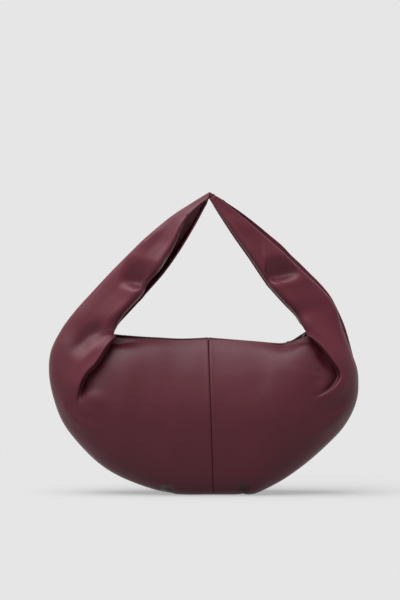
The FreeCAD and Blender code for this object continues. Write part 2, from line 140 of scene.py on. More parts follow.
# the back's leather meets the front's at the outer seam, but its inner edge stands past the front's
backLeft = [row[:3] + inner + row[6:] for row, inner in zip(frontLeft, (
    (7, 222, 12), (-31, 220.5, 12.5), (-63, 222, 12.5), (-90, 223.5, 12.5), (-109, 225, 12.5),
    (-120.5, 226, 12), (-126, 226.5, 11), (-128, 227, 10), (-129, 228, 9), (-128.5, 229.5, 8),
    (-126, 233, 6), (-118, 243.5, 4), (-105, 257.5, 2), (-86, 278.5, 1), (-58.5, 309.5, 1),
    (-34.5, 343, 1), (-11.5, 381, 1), (2, 406.5, 1), (8, 419, 1)))]
# on the right it also stands past the front's folded edge, as far as these outer points
backRight = [outer + (0,) + inner + row[6:] for row, outer, inner in zip(frontRight, (
    (14, 0), (45, 0), (73, 0.5), (97, 10), (122, 25), (150, 45.5), (176, 69), (197, 91), (211, 113),
    (218.5, 134), (220.5, 155), (218, 178), (213, 204), (204, 238), (194, 264), (181, 288),
    (150.6, 319.6), (117, 351), (88, 376.3), (55.5, 400.5), (28, 418), (9, 428.5)), (
    (7, 222, 12), (45, 219, 12.5), (80, 216.2, 12.5), (100, 214.4, 12.5), (113, 214, 13),
    (125, 217.4, 14), (134, 222, 15), (141, 225.4, 16), (145, 228, 16.5), (147.5, 230, 16.5),
    (148.5, 232, 16), (148, 234.5, 15), (145, 238, 12.5), (138, 243.5, 9), (127, 255.5, 6),
    (110.5, 272.5, 4), (88, 298.5, 3), (65, 332.5, 3), (44.5, 361.5, 3), (29, 385, 2.5),
    (17.5, 403, 2.5), (8.5, 419, 2)))]
# lines across the skin in each form, seam to edge: share of the way, share of the swell, share of inner y
crossForms = [
    [(0, 0, 0), (0, 0.27, 0), (0.003, 0.50, 0), (0.045, 0.72, 0), (0.15, 0.89, 0), (0.34, 0.99, 0),
     (0.56, 0.955, 0), (0.76, 0.73, 0.05), (0.92, 0.36, 0.45), (1, 0, 1)],
    [(0, 0, 0), (0.01, 0.25, 0), (0.05, 0.5, 0), (0.13, 0.74, 0), (0.26, 0.92, 0), (0.44, 1, 0),
     (0.62, 0.96, 0), (0.79, 0.80, 0.1), (0.92, 0.48, 0.5), (1, 0, 1)],
    [(0, 0, 0), (0.005, 0.18, 0), (0.03, 0.34, 0), (0.1, 0.5, 0), (0.25, 0.66, 0), (0.45, 0.82, 0),
     (0.67, 0.97, 0.08), (0.86, 0.98, 0.35), (0.965, 0.5, 0.7), (1, 0, 1)],
]

# in mm, but for counts, shares, row numbers and tones, which are on the scale of a fold's height
leather = {
    "thickness": 1.3, "edgeRoll": 1.5, "seamRoll": 1.6,
    "seamRise": 0.35, "riseAt": 3, "riseWidth": 1.6,  # the allowances under the centre seam lift it
    "linesAlong": 310, "linesAcross": 126, "linePoints": 240,
    "firstRows": (0, 0.01, 0.025, 0.05), "evenRows": (0.08, 0.15), "lastRows": (0.08, 0.03, 0),
    "edgeLines": (0, 0.3, 0.75, 1.4),
    "edgeTurn": ((0.5, 0.35), (1.1, 0.45), (1.7, 0.2)),  # how deep, and how far past the edge
    "hem": 9, "hemDepth": 2.1, "hemLines": (0.06, 0.2, 0.4, 0.6, 0.8, 1), "hemMost": 0.3,
    "allowance": 5, "allowanceLines": (1, 0.6, 0.25), "allowanceMost": 0.25,
    "wave": 0.7, "waveLength": 46, "ripples": 9, "softening": 12,
    "outerFade": 14, "seamFade": 12, "edgeFade": 10,  # how near a seam or edge the folds begin to die out
    "seamLeast": 0.15, "frontLeast": 0.3,  # what is left of them at the centre seam and the front's edge
    "floor": 0.15, "middleGap": 0.02, "innerGap": 0.6, "nearLines": 5,
    "paintedStrapLight": 6, "paintedStrapLightFrom": 9, "paintedStrapLightRows": 4,  # painted light: the strap's leather is painted lighter from this row upwards
    "seamTone": 7, "seamToneWidth": 1.2, "outerTone": 4, "outerToneWidth": 1.5, "tuckedTone": 4,
}
# on the right the back's outer strip shows past the front's folded edge, from a row of the strap upwards;
# tone is a painted shade on it near the front's edge
backStrip = {"aside": 4, "behind": 4, "down": 3, "fromRow": 10.6, "rows": 2, "share": 0.13,
             "tone": 16, "toneWidth": 8}
# how a fold's height falls off beside its line
crease = {"linePoints": 12, "reach": 7, "pushReach": 6, "pushFrom": 0.3, "leftPower": 1.5, "rightPower": 1.3,
          "profileReach": 80, "profileStep": 0.5, "profileSoftening": 8, "shadeDepth": 3}


def smoothRow(rows, at):
    # a smooth curve through every row (Catmull-Rom), read at fractional row numbers
    rows = np.asarray(rows, float)
    at = np.clip(at, 0, len(rows) - 1)
    i = np.minimum(at.astype(int), len(rows) - 2)
    t = (at - i)[:, None]
    before, here = rows[np.maximum(i - 1, 0)], rows[i]
    after, beyond = rows[i + 1], rows[np.minimum(i + 2, len(rows) - 1)]
    leave, arrive = (after - before) / 2, (beyond - here) / 2
    return ((2 * t**3 - 3 * t**2 + 1) * here + (t**3 - 2 * t**2 + t) * leave
            + (3 * t**2 - 2 * t**3) * after + (t**3 - t**2) * arrive)


def ease(x):
    x = np.clip(x, 0, 1)
    return x * x * (3 - 2 * x)


def skinLines(table, along):
    # the plain skin with no folds: an array of lines across it, in mm, and the length of each
    rows = smoothRow(table, along)
    fine = np.linspace(0, len(crossForms[0]) - 1, leather["linePoints"])
    forms = [smoothRow(form, fine) for form in crossForms]
    across = []
    lengths = []
    edge = leather["edgeLines"]
    middle = leather["linesAcross"] - 2 * len(edge)
    for outerX, outerZ, outerY, innerX, innerZ, innerY, swell, form in rows[:, :8]:
        low = min(int(form), 1)
        mix = form - low
        way, depth, inner = (forms[low] * (1 - mix) + forms[low + 1] * mix).T
        x = outerX + (innerX - outerX) * way
        z = outerZ + (innerZ - outerZ) * way
        y = outerY * (1 - way) ** 3 - swell * depth - innerY * inner
        steps = np.sqrt(np.diff(x)**2 + np.diff(y)**2 + np.diff(z)**2)
        run = np.concatenate([[0], np.cumsum(steps)])
        total = run[-1]
        places = np.concatenate([edge, np.linspace(edge[-1], total - edge[-1], middle + 2)[1:-1],
                                 total - np.array(edge[::-1])])
        across.append(np.stack([np.interp(places, run, c) for c in (x, y, z)], axis=1))
        lengths.append(places)
    return np.array(across), np.array(lengths)


def outward(skin):
    # the way out of a skin at each of its points
    alongWay = np.gradient(skin, axis=0)
    acrossWay = np.gradient(skin, axis=1)
    normal = np.cross(alongWay, acrossWay)
    normal /= np.maximum(np.linalg.norm(normal, axis=2, keepdims=True), 1e-9)
    # towards the front in the middle of the skin
    if normal[:, normal.shape[1] // 2, 1].mean() > 0:
        normal = -normal
    return normal


def nearLine(points, line):
    # signed distance to a smooth line (plus on its left), the share of the way along it, and the way to it
    line = smoothRow(line, np.linspace(0, len(line) - 1, crease["linePoints"] * len(line)))
    best = np.full(points.shape[:2], 1e9)
    side = np.zeros(points.shape[:2])
    share = np.zeros(points.shape[:2])
    way = np.zeros(points.shape)
    reach = np.concatenate([[0], np.cumsum(np.linalg.norm(np.diff(line, axis=0), axis=1))])
    for k, (a, b) in enumerate(zip(line[:-1], line[1:])):
        step = b - a
        length = np.linalg.norm(step)
        if length < 1e-6:
            continue
        t = np.clip(((points - a) @ step) / length**2, 0, 1)
        gap = points - (a + t[..., None] * step)
        distance = np.linalg.norm(gap, axis=2)
        closer = distance < best
        best = np.where(closer, distance, best)
        turn = step[0] * gap[..., 1] - step[1] * gap[..., 0]
        side = np.where(closer, np.sign(turn), side)
        share = np.where(closer, (reach[k] + t * length) / reach[-1], share)
        way = np.where(closer[..., None], -gap, way)
    return best * side, share, way / np.maximum(best, crease["pushFrom"])[..., None]


def foldHeight(points, fold):
    # the sharp and the soft part of a fold's height, and how far its leather is pushed sideways
    distance, share, way = nearLine(points, fold["line"])
    start, end = fold.get("fade", (0.3, 0.3))
    strength = ease(share / max(start, 1e-3)) * ease((1 - share) / max(end, 1e-3))
    left, right = fold.get("spread", (1, 1))
    far = np.abs(distance)
    sharp = np.zeros(distance.shape)
    soft = np.zeros(distance.shape)
    push = np.zeros(points.shape)
    if "across" in fold:  # any shape: heights at distances from the line, plus on its left
        reach, around = crease["profileReach"], crease["profileSoftening"]
        spots = np.arange(-reach, reach + crease["profileStep"], crease["profileStep"])
        heights = np.interp(spots, *zip(*fold["across"]))
        window = 2 * around + 1
        heights = np.convolve(np.pad(heights, around, "edge"), np.ones(window) / window, "valid")
        sharp = np.interp(distance, spots, heights)
    elif "drop" in fold:  # a lip: high on the left of the line, falling to a valley on its right
        jump = fold["height"] + fold["drop"]
        whole = np.where(distance > 0, fold["height"] * np.exp(-(far / left)**crease["leftPower"]),
                         -fold["drop"] * np.exp(-(far / right)**crease["rightPower"]))
        near = np.exp(-(far / crease["reach"])**2) * jump
        sharp = (ease(distance / (2 * fold["crisp"]) + 0.5) - 0.5) * near
        soft = whole - (np.where(distance > 0, 0.5, -0.5)) * near
        over = fold.get("over", 0) * strength * np.exp(-(far / crease["pushReach"])**2)
        push = way * (np.where(distance > 0, 1, 0.5) * over)[..., None]
    else:
        soft = fold["height"] * np.exp(-(distance / np.where(distance > 0, left, right))**2)
    return sharp * strength, soft * strength, push


def soften(field, times):
    # each point becomes the mean of itself and its neighbours, over and over
    for _ in range(times):
        wide = np.pad(field, 1, mode="edge")
        field = field / 2 + (wide[:-2, 1:-1] + wide[2:, 1:-1] + wide[1:-1, :-2] + wide[1:-1, 2:]) / 8
    return field


def lowNoise(points, length, seed):
    # slow uneven waves, the sum of a few crossing ripples
    rng = np.random.default_rng(seed)
    total = np.zeros(points.shape[:2])
    for _ in range(leather["ripples"]):
        angle = rng.uniform(0, math.pi * 2)
        size = length * rng.uniform(0.6, 1.8)
        total += np.sin((points[..., 0] * math.cos(angle) + points[..., 1] * math.sin(angle))
                        * 2 * math.pi / size + rng.uniform(0, 6.3)) * size / length
    return total / leather["ripples"]


# folds in the leather, in mm over the front view: a line (x, z), its height, and how far it spreads on its
# left and right; fade is the share of the line over which it starts and ends
foldsLeft = [
    # the strap's leather runs over the belly's in one deep fold, up to the corner of the mouth
    {"line": [(-177, 128), (-176.5, 139), (-173.5, 156), (-166, 171), (-152, 186), (-140, 204),
              (-129.5, 220), (-122, 234), (-110, 252)],
     "height": 7, "drop": 10, "spread": (22, 27), "crisp": 1.5, "over": 3, "fade": (0.22, 0.22)},
    # a soft ridge under its end, and two soft wrinkles that run down from it
    {"line": [(-128, 133), (-146, 137), (-160, 138), (-176, 136)],
     "height": 2, "spread": (9, 13), "fade": (0.5, 0.35)},
    {"line": [(-187, 150), (-179, 131), (-167.5, 117.5), (-156, 107)],
     "height": 2.2, "spread": (6, 6), "fade": (0.3, 0.4)},
    {"line": [(-201, 152), (-193.5, 126), (-184.5, 112.5), (-172, 102.5), (-156, 94), (-138, 83)],
     "height": 2.6, "spread": (7, 7), "fade": (0.3, 0.4)},
    # the hollow above the fold, and the one on the shoulder
    {"line": [(-134, 236), (-150, 230), (-166, 222), (-178, 208), (-183, 192)],
     "height": -5.5, "spread": (10, 10), "fade": (0.25, 0.45)},
    {"line": [(-138, 216), (-152, 207), (-170, 190), (-180, 172)],
     "height": 2.6, "spread": (8, 8), "fade": (0.35, 0.45)},
    # the strap's kink: a flat facet falls back to a hollow, which ends against a steep rise
    {"line": [(-66, 292), (-84, 298), (-104, 303), (-124, 306)],
     "across": [(-66, 0), (-34, 3.5), (-29, 2.5), (-4, -10), (0, -10.5), (4, -8), (11, 1.5), (16, 2.5),
                (28, 0.8), (40, 0)],
     "fade": (0.12, 0.45)},
    # fuller leather higher up, and a pinch near the top
    {"line": [(-100, 343), (-79, 366), (-56, 386)],
     "height": 3.5, "spread": (14, 11), "fade": (0.4, 0.4)},
    {"line": [(-34, 392), (-22, 392), (-10, 398)],
     "height": -1.6, "spread": (5, 5), "fade": (0.4, 0.3)},
    # a small dart where the bottom seam is pinched, with painted shade in its hollow
    {"line": [(-64, 4), (-52, 7), (-38, 9)],
     "across": [(-8, 0), (-2.5, -3.5), (2.5, -3.5), (8, 0)], "shade": 14, "fade": (0.25, 0.4)},
]
foldsRight = [
    # the same deep fold, hooked round at its end
    {"line": [(124, 256), (135, 243), (146, 230), (156, 220.5), (165, 212), (175, 199.5), (184, 187),
              (191, 176), (192, 167), (187, 157), (177, 148), (163, 140), (148, 135)],
     "height": 6, "drop": 9, "spread": (18, 22), "crisp": 1.6, "over": 2.5, "fade": (0.2, 0.4)},
    {"line": [(160, 206), (172, 192), (180, 178)],
     "height": -2.5, "spread": (7, 7), "fade": (0.4, 0.4)},
    # fuller leather inside the hook, and round it
    {"line": [(178, 164), (168, 154), (157, 145)],
     "height": 2.6, "spread": (7, 7), "fade": (0.4, 0.4)},
    {"line": [(199, 176), (196, 160), (186, 145), (170, 133)],
     "height": 2.6, "spread": (6, 6), "fade": (0.4, 0.4)},
    {"line": [(203, 134), (191, 113), (178, 102), (160, 88), (141, 75)],
     "height": 2.6, "spread": (8, 8), "fade": (0.3, 0.4)},
    {"line": [(196, 140), (188, 125), (176, 116)],
     "height": -2, "spread": (6, 6), "fade": (0.4, 0.4)},
    # the strap's kink, and fuller leather near the top
    {"line": [(142, 322), (124, 315), (106, 311), (86, 308)],
     "across": [(-54, 0), (-28, 3), (-23, 2), (-4, -7.5), (0, -8), (4, -6), (11, 1.5), (16, 2.5),
                (28, 0.8), (40, 0)],
     "fade": (0.4, 0.12)},
    {"line": [(34, 398), (53, 384), (74, 362)],
     "height": 2.4, "spread": (11, 11), "fade": (0.4, 0.4)},
    # a pinch beside the bottom seam, with painted shade in its hollow
    {"line": [(64, 4), (55, 10), (46, 15)],
     "across": [(-11, 0), (-3, -4), (3, -4), (11, 0)], "shade": 14, "fade": (0.25, 0.5)},
]

quarters = ("frontLeft", "frontRight", "backLeft", "backRight")
seeds = dict(zip(quarters, (3, 5, 11, 17)))  # for the slow waves in each
tables = {"frontLeft": frontLeft, "frontRight": frontRight, "backLeft": backLeft, "backRight": backRight}


def gentler(folds, share, aside, up):
    # the same folds again for the back, softer and a little way off
    softer = []
    for fold in folds:
        copy = dict(fold, line=[(x + aside, z + up) for x, z in fold["line"]])
        for key in ("height", "drop"):
            if key in fold:
                copy[key] = fold[key] * share
        if "across" in fold:
            copy["across"] = [(far, height * share) for far, height in fold["across"]]
        softer.append(copy)
    return softer


foldLists = {"frontLeft": foldsLeft, "frontRight": foldsRight,
             "backLeft": gentler(foldsLeft, 0.8, 3, -5), "backRight": gentler(foldsRight, 0.75, -4, 4)}


def shapeQuarter(quarter):
    # one quarter of the leather in mm, drawn as if it were in front: its skin, the way out of it, how far
    # each point is from the outer and the centre seam, the folds' heights, its painted light and shade, and a
    # layer under the folds
    table = tables[quarter]
    last = len(table) - 1
    first, final = leather["firstRows"], leather["lastRows"]
    between = np.linspace(leather["evenRows"][0], last - leather["evenRows"][1],
                          leather["linesAlong"] - len(first) - len(final))
    along = np.concatenate([first, between, last - np.array(final)])
    base, places = skinLines(table, along)
    # painted shading, taken off the tone: the strap is painted lighter here, as painted light
    paintedShading = -leather["paintedStrapLight"] * ease((along - leather["paintedStrapLightFrom"]) / leather["paintedStrapLightRows"])[:, None]
    paintedShading = paintedShading.repeat(base.shape[1], 1)
    if quarter == "backRight":
        # its outer strip starts under the front's folded edge, where no light reaches; it is painted in shade
        # there
        behind = smoothRow([(row[0] - backStrip["aside"], -backStrip["behind"], row[1] - backStrip["down"])
                            for row in frontRight], along)
        start = base[:, :1]
        share = places / places[:, -1:]
        upwards = ease((along - backStrip["fromRow"]) / backStrip["rows"])[:, None]
        past = upwards * (1 - ease(share / backStrip["share"]))
        base = base + (behind[:, None] - start) * past[..., None]
        paintedShading += backStrip["tone"] * upwards * (1 - ease(places / backStrip["toneWidth"]))
    normal = outward(base)
    flat = base[..., [0, 2]]
    sharp = np.zeros(flat.shape[:2])
    soft = leather["wave"] * lowNoise(flat, leather["waveLength"], seeds[quarter])
    total = places[:, -1:]
    seam = np.abs(base[..., 0] - base[:1, :, 0])
    # folds die out at the seams and edges
    edge = ease((total - places) / leather["edgeFade"])
    least = leather["frontLeast"] if quarter.startswith("front") else 0
    seamLeast = leather["seamLeast"]
    room = ease(places / leather["outerFade"])
    room = room * (ease(seam / leather["seamFade"]) * (1 - seamLeast) + seamLeast)
    room = room * (least + (1 - least) * edge)
    plain = base.copy()
    for fold in foldLists[quarter]:
        parts = foldHeight(flat, fold)
        # painted shade in the hollow of a fold that has a shade value
        paintedShading = paintedShading + fold.get("shade", 0) * np.clip(-parts[0] / crease["shadeDepth"], 0, 1)
        sharp += parts[0]
        soft += parts[1]
        base[..., [0, 2]] += parts[2] * (room * edge)[..., None]
    folds = (sharp + soften(soft, leather["softening"])) * room
    # what lies inside keeps below the lowest leather near it
    lowest = np.minimum(folds, 0)
    near = leather["nearLines"]
    for axis in (0, 1):
        lowest = np.min([np.roll(lowest, step, axis) for step in range(-near, near + 1)], axis=0)
    return {"base": base, "normal": normal, "places": places, "seam": seam, "folds": folds, "paintedShading": paintedShading,
            "inner": plain + normal * lowest[..., None]}


def leatherSkin(quarter):
    # the leather's outer surface with its rolls, hem and allowance, and its tone: painted light and shade,
    # with the seams' dye
    skin = skins[quarter]
    base, normal, places, seam = [skin[key] for key in ("base", "normal", "places", "seam")]
    folds = skin["folds"]
    total = places[:, -1:]
    height = folds.copy()
    for distance, roll in ((places, leather["seamRoll"]), (total - places, leather["edgeRoll"]),
                           (seam, leather["seamRoll"])):
        inside = np.clip(roll - distance, 0, roll)
        height -= roll - np.sqrt(roll**2 - inside**2)
    height += leather["seamRise"] * np.exp(-((seam - leather["riseAt"]) / leather["riseWidth"])**2)
    points = base + normal * height[..., None]
    # turned in at both edges: an allowance along the outer seam, a hem along the inner edge
    beforeRoll = -1 - len(leather["edgeLines"])
    edge, way = points[:, -1], points[:, -1] - points[:, beforeRoll]
    way /= np.linalg.norm(way, axis=1, keepdims=True)
    out = normal[:, beforeRoll - 1]
    out -= way * (out * way).sum(axis=1, keepdims=True)
    out /= np.linalg.norm(out, axis=1, keepdims=True)
    turned = [edge - out * deep + way * past for deep, past in leather["edgeTurn"]]
    hem = np.minimum(leather["hem"], total[:, 0] * leather["hemMost"])
    for share in leather["hemLines"]:
        at = total[:, 0] - leather["edgeRoll"] * (1 - share) - hem * share
        near = [[np.interp(at[i], places[i], source[i, :, axis]) for axis in range(3)]
                for i in range(len(at)) for source in (points, normal)]
        near = np.array(near).reshape(len(at), 2, 3)
        turned.append(near[:, 0] - near[:, 1] * leather["hemDepth"])
    seamEdge, inward = points[:, 0], -normal[:, 0]
    allowance = np.minimum(leather["allowance"], total * leather["allowanceMost"])
    tucked = [seamEdge + inward * allowance * share for share in leather["allowanceLines"]]
    points = np.concatenate([np.stack(tucked, 1), points, np.stack(turned, 1)], axis=1)
    # the tone is painted shade in fold hollows and painted highlight on ridges, with the painted shading;
    # seams and turned edges hold more dye
    tone = folds - skin["paintedShading"] - leather["seamTone"] * np.exp(-(seam / leather["seamToneWidth"])**2)
    tone -= leather["outerTone"] * np.exp(-(places / leather["outerToneWidth"])**2)
    tone = np.concatenate([tone[:, :1].repeat(len(tucked), 1) - leather["tuckedTone"], tone,
                           tone[:, -1:].repeat(len(turned), 1)], axis=1)
    points[..., 2] = np.maximum(points[..., 2], leather["floor"])
    # a row whose outer seam lies in the middle plane stays on its own side of it
    limit = np.where(np.abs(base[:, 0, 1]) < 0.5, -leather["middleGap"], np.inf)
    points[..., 1] = np.minimum(points[..., 1], limit[:, None])
    if quarter.startswith("back"):
        points[..., 1] *= -1
    return points, tone


# each quarter is shaped once, for its leather and for what lies under it
skins = {quarter: shapeQuarter(quarter) for quarter in quarters}


def innerLayer(quarter, alongRange, shareRange, inset, steps=(60, 40)):
    # a smooth layer at some depth under a quarter's skin, over part of its rows and part of its way across
    skin = skins[quarter]
    places = skin["places"]
    rows = np.linspace(*alongRange, steps[0])
    share = np.linspace(*shareRange, steps[1])
    table = tables[quarter]
    along = np.linspace(0, len(table) - 1, len(places))
    picked = skin["inner"] - skin["normal"] * inset
    layer = np.array([[np.interp(share, places[i] / places[i, -1], picked[i, :, axis]) for axis in range(3)]
                      for i in range(len(places))]).transpose(0, 2, 1)
    layer = np.stack([np.stack([np.interp(rows, along, layer[:, k, axis]) for axis in range(3)], axis=1)
                      for k in range(len(share))], axis=1)
    layer[..., 2] = np.maximum(layer[..., 2], leather["floor"] + inset)
    layer[..., 1] = np.minimum(layer[..., 1], -leather["innerGap"])
    if quarter.startswith("back"):
        layer[..., 1] *= -1
    return layer


def meshFromGrid(name, points, values=None):
    rows, columns = points.shape[:2]
    index = np.arange(rows * columns).reshape(rows, columns)
    quads = np.stack([index[:-1, :-1], index[1:, :-1], index[1:, 1:], index[:-1, 1:]], axis=-1)
    mesh = bpy.data.meshes.new(name)
    mesh.from_pydata((points.reshape(-1, 3) * mm).tolist(), [], quads.reshape(-1, 4).tolist())
    if values is not None:
        layer = mesh.attributes.new("fold", "FLOAT", "POINT")
        layer.data.foreach_set("value", values.reshape(-1).astype(np.float32))
    made = bpy.data.objects.new(name, mesh)
    bpy.context.collection.objects.link(made)
    return made


def applyModifier(piece, kind, **settings):
    modifier = piece.modifiers.new(kind, kind)
    for key, value in settings.items():
        setattr(modifier, key, value)
    bpy.ops.object.select_all(action="DESELECT")
    piece.select_set(True)
    bpy.context.view_layer.objects.active = piece
    bpy.ops.object.modifier_apply(modifier=modifier.name)


def faceOutwards(piece, towards):
    # the middle of the skin faces the given way
    mesh = piece.data
    facing = sum(polygon.normal.y * polygon.area for polygon in mesh.polygons)
    if facing * towards < 0:
        mesh.flip_normals()


def nappa(name, finish):
    # nappa: full-grain hide, chrome tanned and milled soft, so a fine pebble and a broad soft sheen
    made, tree = newMaterial(name)
    place = addNode(tree, "ShaderNodeTexCoord").outputs["Object"]
    grain = addNode(tree, "ShaderNodeTexVoronoi", {"Scale": 1000 / finish["pebble"]}, {"Vector": place})
    pores = addNode(tree, "ShaderNodeTexNoise", {"Scale": 2400.0, "Detail": 2.0}, {"Vector": place})
    cloud = addNode(tree, "ShaderNodeTexNoise", {"Scale": 13.0, "Detail": 5.0, "Roughness": 0.6},
                    {"Vector": place})
    # painted shade darkens the folds and a painted highlight lightens the ridges, through the fold attribute
    fold = addNode(tree, "ShaderNodeAttribute", {"attribute_name": "fold"})
    deepest, highest = finish["folds"]
    paintedRidgeLight = addNode(tree, "ShaderNodeMapRange", {"From Min": deepest, "From Max": highest},
                   {"Value": fold.outputs["Fac"]})
    mottle = addNode(tree, "ShaderNodeMath", {"operation": "MULTIPLY", 1: 0.3}, {0: cloud.outputs["Fac"]})
    amount = addNode(tree, "ShaderNodeMath", {"operation": "MULTIPLY_ADD", 1: 0.7},
                     {0: paintedRidgeLight.outputs["Result"], 2: mottle.outputs["Value"]})
    tint = addNode(tree, "ShaderNodeMix", {"data_type": "RGBA", 6: hexColour(finish["deep"]),
                                           7: hexColour(finish["paintedRidgeLight"])},
                   {"Factor": amount.outputs["Value"]})
    gloss = addNode(tree, "ShaderNodeMapRange", {"To Min": finish["rough"] - 0.06,
                                                 "To Max": finish["rough"] + 0.06},
                    {"Value": cloud.outputs["Fac"]})
    pebble = addNode(tree, "ShaderNodeBump", {"Strength": 0.25, "Distance": 0.00018},
                     {"Height": grain.outputs["Distance"]})
    hide = addNode(tree, "ShaderNodeBump", {"Strength": 0.12, "Distance": 0.0001},
                   {"Height": pores.outputs["Fac"], "Normal": pebble.outputs["Normal"]})
    surface = addNode(tree, "ShaderNodeBsdfPrincipled",
                      {"IOR": 1.45, "Specular IOR Level": finish["shine"],
                       "Sheen Weight": finish["sheen"], "Sheen Roughness": 0.5,
                       "Sheen Tint": hexColour(finish["bloom"])},
                      {"Base Color": tint.outputs[2], "Roughness": gloss.outputs["Result"],
                       "Normal": hide.outputs["Normal"]})
    addNode(tree, "ShaderNodeOutputMaterial", None, {"Surface": surface.outputs["BSDF"]})
    return made


def woven(name, cloth):
    # plain-woven thread: two crossing sets of rounded threads, each a little uneven in colour
    made, tree = newMaterial(name)
    place = addNode(tree, "ShaderNodeTexCoord").outputs["Object"]
    scale = 2 * math.pi / (cloth["thread"] * 2 * mm) / 20  # the wave texture repeats 20 / 2 pi times a unit
    bands = []
    for direction in cloth["ways"]:
        wave = addNode(tree, "ShaderNodeTexWave", {"bands_direction": direction, "Scale": scale,
                                                   "Distortion": 0.4, "Detail": 1.0}, {"Vector": place})
        bands.append(wave.outputs["Fac"])
    weave = addNode(tree, "ShaderNodeMath", {"operation": "MAXIMUM"}, {0: bands[0], 1: bands[1]})
    slub = addNode(tree, "ShaderNodeTexNoise", {"Scale": 90.0, "Detail": 3.0}, {"Vector": place})
    shade = addNode(tree, "ShaderNodeMath", {"operation": "MULTIPLY"},
                    {0: weave.outputs["Value"], 1: slub.outputs["Fac"]})
    shadeUp = addNode(tree, "ShaderNodeMath", {"operation": "MULTIPLY_ADD", 1: 0.9, 2: 0.3},
                      {0: shade.outputs["Value"]})
    tint = addNode(tree, "ShaderNodeMix", {"data_type": "RGBA", 6: hexColour(cloth["gap"]),
                                           7: hexColour(cloth["threadColour"])},
                   {"Factor": shadeUp.outputs["Value"]})
    relief = addNode(tree, "ShaderNodeBump", {"Strength": 0.5, "Distance": cloth["thread"] * 0.3 * mm},
                     {"Height": weave.outputs["Value"]})
    surface = addNode(tree, "ShaderNodeBsdfPrincipled",
                      {"Roughness": cloth["rough"], "Sheen Weight": 0.2, "Sheen Roughness": 0.5},
                      {"Base Color": tint.outputs[2], "Normal": relief.outputs["Normal"]})
    addNode(tree, "ShaderNodeOutputMaterial", None, {"Surface": surface.outputs["BSDF"]})
    return made


def coatedMetal(name, metal):
    # die-cast zinc with a dark plated coat, tumbled: brighter where edges have rubbed
    made, tree = newMaterial(name)
    place = addNode(tree, "ShaderNodeTexCoord").outputs["Object"]
    rub = addNode(tree, "ShaderNodeTexNoise", {"Scale": 420.0, "Detail": 4.0}, {"Vector": place})
    tint = addNode(tree, "ShaderNodeMix", {"data_type": "RGBA", 6: hexColour(metal["coat"]),
                                           7: hexColour(metal["rubbed"])}, {"Factor": rub.outputs["Fac"]})
    rough = addNode(tree, "ShaderNodeMapRange", {"To Min": metal["rough"], "To Max": metal["rough"] + 0.15},
                    {"Value": rub.outputs["Fac"]})
    fine = addNode(tree, "ShaderNodeBump", {"Strength": 0.1, "Distance": 0.00005},
                   {"Height": rub.outputs["Fac"]})
    surface = addNode(tree, "ShaderNodeBsdfPrincipled", {"Metallic": 1.0},
                      {"Base Color": tint.outputs[2], "Roughness": rough.outputs["Result"],
                       "Normal": fine.outputs["Normal"]})
    addNode(tree, "ShaderNodeOutputMaterial", None, {"Surface": surface.outputs["BSDF"]})
    return made


def mottled(name, stuff):
    # split hide, board or film: a matt surface with specks at the size of its fibres or grain
    made, tree = newMaterial(name)
    place = addNode(tree, "ShaderNodeTexCoord").outputs["Object"]
    specks = addNode(tree, "ShaderNodeTexNoise", {"Scale": 1000 / stuff["speck"], "Detail": 6.0},
                     {"Vector": place})
    tint = addNode(tree, "ShaderNodeMix", {"data_type": "RGBA", 6: hexColour(stuff["dark"]),
                                           7: hexColour(stuff["light"])}, {"Factor": specks.outputs["Fac"]})
    nap = addNode(tree, "ShaderNodeBump", {"Strength": 0.4, "Distance": stuff["nap"] * mm},
                  {"Height": specks.outputs["Fac"]})
    surface = addNode(tree, "ShaderNodeBsdfPrincipled", {"Roughness": stuff["rough"]},
                      {"Base Color": tint.outputs[2], "Normal": nap.outputs["Normal"]})
    addNode(tree, "ShaderNodeOutputMaterial", None, {"Surface": surface.outputs["BSDF"]})
    return made


# the leather's colour runs from a painted shade in fold hollows to a painted highlight on ridges
maroonNappa = nappa("maroonNappa", {"paintedRidgeLight": "#7a2f3f", "deep": "#26060d", "folds": (-15.0, 7.0),
                                    "pebble": 0.9, "rough": 0.42, "shine": 0.38, "sheen": 0.02,
                                    "bloom": "#d6b4bb"})
# cotton twill: mercerised, so it has a slight lustre; threads drawn 0.5 mm apart
cottonTwill = woven("cottonTwill", {"thread": 0.5, "ways": ("X", "Z"), "gap": "#241a1c",
                                    "threadColour": "#4c3d3f", "rough": 0.8})
# nylon tape, calendered flat
nylonTape = woven("nylonTape", {"thread": 0.4, "ways": ("X", "Z"), "gap": "#1c1416",
                                "threadColour": "#3c2f32", "rough": 0.55})
# polyester zip tape: knitted, with a fine rib along its length
zipTape = woven("zipTape", {"thread": 0.6, "ways": ("X", "Y"), "gap": "#17090d",
                            "threadColour": "#3a1a22", "rough": 0.65})
# polypropylene webbing: woven from coarse ribbon yarn, so it glints
webbing = woven("webbing", {"thread": 1.0, "ways": ("X", "Z"), "gap": "#151314",
                            "threadColour": "#34302f", "rough": 0.5})
gunmetal = coatedMetal("gunmetalPlate", {"coat": "#17171a", "rubbed": "#2c2c30", "rough": 0.34})
brassTeeth = coatedMetal("blackenedBrass", {"coat": "#2b2a2c", "rubbed": "#5b5652", "rough": 0.35})
# split leather: the flesh side of the hide, fluffed to a suede nap
splitHide = mottled("splitHide", {"speck": 1.2, "dark": "#46222a", "light": "#6d4049", "rough": 0.9,
                                  "nap": 0.15})
# bonded grey board, pressed from fibre
fibreBoard = mottled("fibreBoard", {"speck": 1.6, "dark": "#575049", "light": "#857c72", "rough": 0.85,
                                    "nap": 0.05})

cadHalves = {"frontLeft": ("front_left_panel", "strap_left_front"),
             "frontRight": ("front_right_panel", "strap_right_front"),
             "backLeft": ("back_left_panel", "strap_left_back"),
             "backRight": ("back_right_panel", "strap_right_back")}


